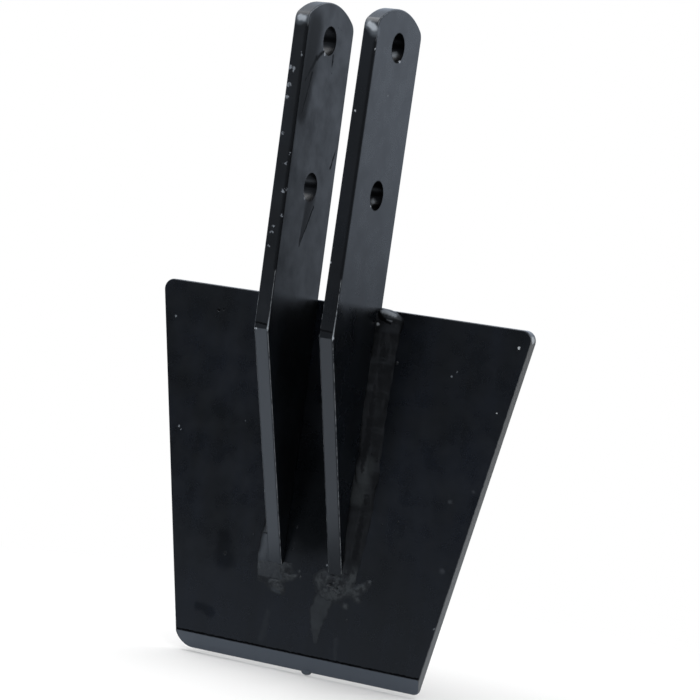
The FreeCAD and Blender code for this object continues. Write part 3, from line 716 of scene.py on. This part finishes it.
# Painted highlights on the lips of the bolt holes
PAINTED_LIP_HIGHLIGHTS = [(21.6, 4.0, -6.0, 0.9), (21.1, -4.9, -75.2, 0.9)]
lay_over(coat, spots(coat, PAINTED_LIP_HIGHLIGHTS, 0.6 * MM, 1.1 * MM, 0.2), "#b2b8c0", 0.45)
# Painted highlight at the front corner of the round end, pale grey, with a paler core
painted_highlight_corner = stroke(coat, (16.2, -25, 7.8), (20.4, -25, 4.8), 2.9, 3.8, 0.7 * MM, 2.2 * MM)
lay_over(coat, painted_highlight_corner, "#4c5259", 0.4)
core = stroke(coat, (17.0, -25, 7.7), (19.8, -25, 5.8), 2.0, 2.2, 0.7 * MM, 2.2 * MM)
lay_over(coat, core, "#a0a7af", 0.4)
CHIPS = [(20.8, -24.6, -138.6, 0.8), (14.2, -25, -46.0, 0.5), (14.0, -25, -104.0, 0.6), (21.9, -24.6, -3.7, 0.6),
         (15.9, -25, -33.1, 0.6), (21.6, -3.6, -23.1, 0.5)]
lay_over(coat, spots(coat, CHIPS, 0.8 * MM, 0.9 * MM), "#9aa0a6", 0.6, -0.05 * MM)
# Painted shadow: a thin dark line just above the kink
painted_shadow_above_kink = stroke(coat, (13.6, -25, KINK / MM + 3.4), (20.6, -25, KINK / MM + 3.0), 0.7, 0.7, 0.4 * MM, 1.0 * MM)
lay_over(coat, painted_shadow_above_kink, "#020203", 0.6, mirror=0.12)
# Painted highlight along the arris just above the kink
painted_highlight_arris = stroke(coat, (20.9, -25, KINK / MM - 1.0), (21.3, -25, KINK / MM + 20), 0.9, 0.5, 0.3 * MM)
lay_over(coat, painted_highlight_arris, "#a0a7ae", 0.42)
close_paint(coat)
dress("right_bar", right_paint)

# %% [markdown]
# ## The finish of the welds, the spatter and the run
#
# Paint over a bead hides the bright metal but not its skin. Slag islands and streaks keep their relief, and the
# valley between the two passes is painted darker and mirrors little, a painted shade in the crease. The fat
# start carries a painted highlight and painted glints, with a painted shadow under it: a dark hook that mirrors
# almost nothing. The lap at the restart is painted paler, a painted highlight on its bulge. At the tips smoke
# from the arc left the coat pale and mottled, and the right splash has dark pin holes. The thin rims of the
# metal wear the plate's own black. The foot of the left weld was ground flush with the taper, and like the
# tapers it is painted paler there, a painted highlight. The run is the opposite: a thick, slow drop of paint
# that set without grain.

# %% Paint over the welds and the spatter
weld_paint, coat = start_paint("chassis_enamel_black_on_weld", "#050506", "#0b0c0d", 4 * MM, (0.26, 0.38),
                               0.012 * MM, 0.05 * MM)
tree = coat["tree"]
slag = add(tree, "ShaderNodeTexVoronoi", {"Vector": coat["place"], "Scale": 1 / (1.9 * MM)}, feature="SMOOTH_F1")
islands = add(tree, "ShaderNodeMapRange", {"Value": slag.outputs["Distance"], "From Min": 0.5, "From Max": 0.15},
              interpolation_type="SMOOTHSTEP")
lay_over(coat, islands.outputs[0], height=0.012 * MM)
lay_over(coat, 1.0, mirror=0.36)
PIN_HOLES = [(16.2, 24, -259.2, 1.0), (19.2, 24, -257.6, 0.7), (15.2, 24, -257.0, 0.6), (18.0, 24, -261.6, 0.8)]
lay_over(coat, spots(coat, PIN_HOLES, 0.3 * MM, 0.9 * MM), "#040506", 0.6, -0.35 * MM)
place = add(tree, "ShaderNodeSeparateXYZ", {0: coat["place"]})
drawn_out = add(tree, "ShaderNodeMapping", {"Vector": coat["place"], "Scale": (1.0, 1.0, 0.18)})
streaks = add(tree, "ShaderNodeTexNoise", {"Vector": drawn_out.outputs[0], "Scale": 1 / (2.2 * MM), "Detail": 3.0})
streaked = add(tree, "ShaderNodeMapRange", {"Value": streaks.outputs[0], "From Min": 0.50, "From Max": 0.64},
               interpolation_type="SMOOTHSTEP")
lay_over(coat, streaked.outputs[0], "#101113", 0.40, 0.03 * MM)
# Painted highlight: a paler coat over the bulge where the upper run laps over the lower
restart = stroke(coat, (26, 22, -196), (23, 22, -214), 4.6, 6.0, 1.2 * MM)
lay_over(coat, restart, "#1c1f20", 0.46)
# Painted shade in the valley between the two passes: darker and weakly mirroring
VALLEY_PAINTED_SHADE = [((24.4, 21.0, -160.0), (23.9, 21.8, -188.0), 1.6, 2.4), ((23.9, 21.8, -188.0), (23.4, 21.6, -202.0), 2.4, 1.4),
          ((26.9, 23.1, -213.0), (25.2, 23.6, -243.0), 1.7, 2.2)]
for start, finish, start_width, finish_width in VALLEY_PAINTED_SHADE:
    valley = stroke(coat, start, finish, start_width, finish_width, 1.6 * MM, 2.2 * MM)
    lay_over(coat, valley, "#060608", 0.58, -0.08 * MM, 0.23)
# Painted highlight on the top of the start blob, a painted glint beside it, and a painted white glint below it
start_painted_highlight = stroke(coat, (23.8, 21.0, -123.4), (29.4, 21.5, -124.8), 2.3, 1.7, 0.6 * MM, 1.2 * MM)
lay_over(coat, start_painted_highlight, "#74797f", 0.45)
start_painted_glint = stroke(coat, (26.4, 19.8, -127.6), (28.8, 20.4, -127.8), 0.8, 0.6, 0.5 * MM, 1.2 * MM)
lay_over(coat, start_painted_glint, "#4a4e52", 0.45)
lay_over(coat, spots(coat, [(22.3, 19.2, -130.1, 1.2)], 0.5 * MM, 1.2 * MM, 0.2), "#80858a", 0.45)
# Painted shadow under the start blob: a dark hook that mirrors almost nothing
painted_shadow_top = stroke(coat, (21.4, 19.6, -124.0), (23.4, 19.0, -127.0), 1.2, 1.9, 0.3 * MM, 1.4 * MM)
painted_shadow_foot = stroke(coat, (23.4, 19.0, -127.0), (28.2, 20.4, -129.0), 1.9, 0.8, 0.3 * MM, 1.4 * MM)
start_painted_shadow = add(tree, "ShaderNodeMath", {0: painted_shadow_top, 1: painted_shadow_foot}, operation="MAXIMUM")
lay_over(coat, start_painted_shadow.outputs[0], "#020203", 0.7, -0.12 * MM, 0.04)
smoked = add(tree, "ShaderNodeMapRange", {"Value": place.outputs[2], "From Min": TOP - 122 * MM,
                                          "From Max": TOP - 131 * MM}, interpolation_type="SMOOTHSTEP")
mottle = add(tree, "ShaderNodeTexNoise", {"Vector": coat["place"], "Scale": 1 / (3.6 * MM), "Detail": 4.0,
                                          "Roughness": 0.6})
mottled = add(tree, "ShaderNodeMapRange", {"Value": mottle.outputs[0], "From Min": 0.40, "From Max": 0.62},
              interpolation_type="SMOOTHSTEP")
pale_smoke = add(tree, "ShaderNodeMath", {0: smoked.outputs[0], 1: mottled.outputs[0]}, operation="MULTIPLY")
lay_over(coat, pale_smoke.outputs[0], "#2b2f31", 0.46, 0.12 * MM)
lay_over(coat, smoked.outputs[0], mirror=0.5)
thin = add(tree, "ShaderNodeMapRange", {"Value": place.outputs[1], "From Min": FACE - 0.38 * MM,
                                        "From Max": FACE - 0.05 * MM}, interpolation_type="SMOOTHSTEP")
lay_over(coat, thin.outputs[0], "#07090c", 0.32)
# The foot of the left weld, ground flush with the taper, is painted paler like the tapers: a painted highlight
dressed = tilted_edge(coat, TOP - 100 * MM)
left_side = add(tree, "ShaderNodeMath", {0: place.outputs[0], 1: -12 * MM}, operation="LESS_THAN")
flush = add(tree, "ShaderNodeMath", {0: dressed, 1: left_side.outputs[0]}, operation="MULTIPLY")
lay_over(coat, flush.outputs[0], "#20252a", 0.36, mirror=0.5)
lay_over(coat, grit(coat, 9 * MM, 0.26 * MM, 0.4), "#70757a", 0.6, 0.05 * MM)
close_paint(coat)
for piece in (right_weld, left_weld, spatter):
    piece.data.materials.append(weld_paint)

# %% Thick paint in the run
run_paint, coat = start_paint("chassis_enamel_black_run", "#191c1f", "#24282b", 6 * MM, (0.34, 0.42),
                              0.004 * MM, 0.02 * MM)
place = add(coat["tree"], "ShaderNodeSeparateXYZ", {0: coat["place"]})
thin = add(coat["tree"], "ShaderNodeMapRange", {"Value": place.outputs[1], "From Min": FACE - 0.14 * MM,
                                                "From Max": FACE - 0.03 * MM}, interpolation_type="SMOOTHSTEP")
lay_over(coat, thin.outputs[0], "#07090c", 0.32)
close_paint(coat)
run_of_paint.data.materials.append(run_paint)

# %% [markdown]
# ## The studio
#
# The spade stands on its cutting edge on a pale table. A black, glossy thing is lit by what it mirrors, so the
# room matters more than the lamps. The camera looks from the right of the plate's middle. The wide faces of
# the bars mirror the white wall behind the spade, while the plate and the narrow edges mirror the dim side of
# the room at the camera, which is a little brighter towards the left and above eye level. A bright ceiling
# and a large soft lamp under it draw the rims of the round ends, and a lamp at the right gives the thin lines
# along the arrises. A small strip with a honeycomb grid, low in front, shows only in the two tapered edges.
# What the coat mirrors is slightly cooler than the light that falls on it.
#
# The table is white where the lamps light it. In what the spade mirrors it is a painted pool of light instead:
# it glows for glossy rays, brightest near the spade and dimming away from it. For the camera it fades into the
# white background, so that no horizon shows, and near the spade it keeps the shadow.

# %% The table
TABLE_HALF = 4.0
COOL = (0.82, 0.93, 1.10, 1.0)
table_mesh = bpy.data.meshes.new("table_top")
corner = np.array([(-1, -1), (1, -1), (1, 1), (-1, 1)]) * TABLE_HALF
heights = np.full((4, 1), BOTTOM - 0.2 * MM)
table_mesh.from_pydata(np.concatenate([corner, heights], axis=1).tolist(), [], [(0, 1, 2, 3)])
table = bpy.data.objects.new("table_top", table_mesh)
bpy.context.scene.collection.objects.link(table)

table_paint = bpy.data.materials.new("table_white_matt_board")
table_paint.use_nodes = True
tree = table_paint.node_tree
tree.nodes.clear()
texture = add(tree, "ShaderNodeTexCoord")
away = add(tree, "ShaderNodeVectorMath", {0: texture.outputs["Object"], 1: (0.0, 0.0, FOOT)}, operation="DISTANCE")
board = add(tree, "ShaderNodeBsdfDiffuse", {"Color": linear("#f4f4f4")})
background = add(tree, "ShaderNodeEmission", {"Color": (1.0, 1.0, 1.0, 1.0), "Strength": 1.0})
# Painted pool of light: for glossy rays the table glows, brightest near the spade and dimming away from it
painted_light_pool = add(tree, "ShaderNodeMapRange", {"Value": away.outputs["Value"], "From Min": 0.20, "From Max": 0.70,
                                        "To Min": 0.42, "To Max": 0.08}, interpolation_type="SMOOTHSTEP")
painted_glow_in_mirror = add(tree, "ShaderNodeEmission", {"Color": COOL, "Strength": painted_light_pool.outputs[0]})
near = add(tree, "ShaderNodeMapRange", {"Value": away.outputs["Value"], "From Min": 0.16, "From Max": 0.40},
           interpolation_type="SMOOTHSTEP")
path = add(tree, "ShaderNodeLightPath")
far_for_camera = add(tree, "ShaderNodeMath", {0: near.outputs[0], 1: path.outputs["Is Camera Ray"]},
                     operation="MULTIPLY")
seen = add(tree, "ShaderNodeMixShader", {0: far_for_camera.outputs[0], 1: board.outputs[0], 2: background.outputs[0]})
glossy = add(tree, "ShaderNodeMath", {0: path.outputs["Is Glossy Ray"], 1: path.outputs["Is Transmission Ray"]},
             operation="MAXIMUM")
whole = add(tree, "ShaderNodeMixShader", {0: glossy.outputs[0], 1: seen.outputs[0], 2: painted_glow_in_mirror.outputs[0]})
add(tree, "ShaderNodeOutputMaterial", {"Surface": whole.outputs[0]})
table_mesh.materials.append(table_paint)

# %% The room
world = bpy.data.worlds.new("studio_room")
bpy.context.scene.world = world
world.use_nodes = True
tree = world.node_tree
tree.nodes.clear()
texture = add(tree, "ShaderNodeTexCoord")
sky = add(tree, "ShaderNodeSeparateXYZ", {0: texture.outputs["Generated"]})
leftwards = add(tree, "ShaderNodeMapRange", {"Value": sky.outputs[0], "From Min": -0.36, "From Max": -0.48,
                                             "To Min": 0.06, "To Max": 0.16})
front = add(tree, "ShaderNodeMapRange", {"Value": sky.outputs[2], "From Min": -0.02, "From Max": 0.09,
                                         "To Min": leftwards.outputs[0], "To Max": 0.42},
            interpolation_type="SMOOTHSTEP")
behind = add(tree, "ShaderNodeMapRange", {"Value": sky.outputs[2], "From Min": -0.04, "From Max": 0.09,
                                          "To Min": 0.55, "To Max": 0.94}, interpolation_type="SMOOTHSTEP")
side = add(tree, "ShaderNodeMapRange", {"Value": sky.outputs[1], "From Min": -0.35, "From Max": 0.40},
           interpolation_type="SMOOTHSTEP")
walls = add(tree, "ShaderNodeMix", {0: side.outputs[0], 2: front.outputs[0], 3: behind.outputs[0]}, data_type="FLOAT")
height = add(tree, "ShaderNodeMapRange", {"Value": sky.outputs[2], "From Min": 0.22, "From Max": 0.62},
             interpolation_type="SMOOTHSTEP")
room = add(tree, "ShaderNodeMix", {0: height.outputs[0], 2: walls.outputs[0], 3: 0.9}, data_type="FLOAT")
path = add(tree, "ShaderNodeLightPath")
tint = add(tree, "ShaderNodeMix", {0: path.outputs["Is Glossy Ray"], 6: (1.0, 1.0, 1.0, 1.0), 7: COOL},
           data_type="RGBA")
lit = add(tree, "ShaderNodeBackground", {"Color": tint.outputs[2], "Strength": room.outputs[0]})
white = add(tree, "ShaderNodeBackground", {"Color": (1.0, 1.0, 1.0, 1.0), "Strength": 1.0})
seen = add(tree, "ShaderNodeMixShader", {0: path.outputs["Is Camera Ray"], 1: lit.outputs[0], 2: white.outputs[0]})
add(tree, "ShaderNodeOutputWorld", {"Surface": seen.outputs[0]})


# %% The lamps
def softbox(name, place, aim, width, height, radiance, spread=180, filter_colour=(1.0, 1.0, 1.0)):
    """Area lamp that looks from place to aim. Its power is radiance times its area times pi.

    A spread below 180 degrees is a honeycomb grid, which lets the light out only near the lamp's axis."""
    lamp = bpy.data.lights.new(name, "AREA")
    lamp.shape = "RECTANGLE"
    lamp.size = width
    lamp.size_y = height
    lamp.energy = radiance * width * height * math.pi
    lamp.spread = math.radians(spread)
    lamp.color = filter_colour
    holder = bpy.data.objects.new(name, lamp)
    bpy.context.scene.collection.objects.link(holder)
    holder.location = place
    holder.rotation_euler = (Vector(aim) - Vector(place)).to_track_quat("-Z", "Y").to_euler()
    print("%s: %.2f W" % (name, lamp.energy))


MIDDLE = (0.0, 0.0, -0.14)
softbox("softbox_overhead", (-0.30, -0.12, 0.80), MIDDLE, 0.9, 0.7, 2.9)
softbox("softbox_right", (0.75, -0.55, 0.85), MIDDLE, 0.6, 0.6, 1.6)
GRID_PLACE, GRID_AXIS = Vector((-0.064, -0.062, -0.236)), Vector((0.42, 0.61, 0.67))
softbox("gridded_strip_below", GRID_PLACE, GRID_PLACE + GRID_AXIS, 0.15, 0.15, 0.090, 40, (0.86, 0.95, 1.08))

# %% [markdown]
# ## The camera
#
# The photograph was taken with a long lens from 25 degrees to the right of the plate's middle and 2 degrees
# above level, and the spade leans 8 degrees in the picture. The numbers come from fitting the corners of the
# solids to the corners in the photograph. The camera looks at one point of the plate's face, with no shift.

# %% Camera
AZIMUTH, ELEVATION, ROLL = (math.radians(degrees) for degrees in (24.97, 2.04, 7.94))
DISTANCE = 1275.06 * MM
FOCAL_PIXELS = 2643.25
LOOK_AT = Vector((6.93, 25.0, -144.65)) * MM
back = Vector((math.sin(AZIMUTH) * math.cos(ELEVATION), -math.cos(AZIMUTH) * math.cos(ELEVATION), math.sin(ELEVATION)))
level = Vector((math.cos(AZIMUTH), math.sin(AZIMUTH), 0.0))
upright = back.cross(level)
right = level * math.cos(ROLL) + upright * math.sin(ROLL)
up = upright * math.cos(ROLL) - level * math.sin(ROLL)
lens = bpy.data.cameras.new("camera")
lens.sensor_width = 36.0
lens.lens = FOCAL_PIXELS / 700 * lens.sensor_width
lens.clip_start = 0.05
camera = bpy.data.objects.new("camera", lens)
bpy.context.scene.collection.objects.link(camera)
camera.matrix_world = Matrix.Translation(LOOK_AT + back * DISTANCE) @ Matrix((right, up, back)).transposed().to_4x4()
bpy.context.scene.camera = camera
bpy.context.scene.view_settings.view_transform = "Standard"
print("lens %.2f mm at %.3f m" % (lens.lens, DISTANCE))
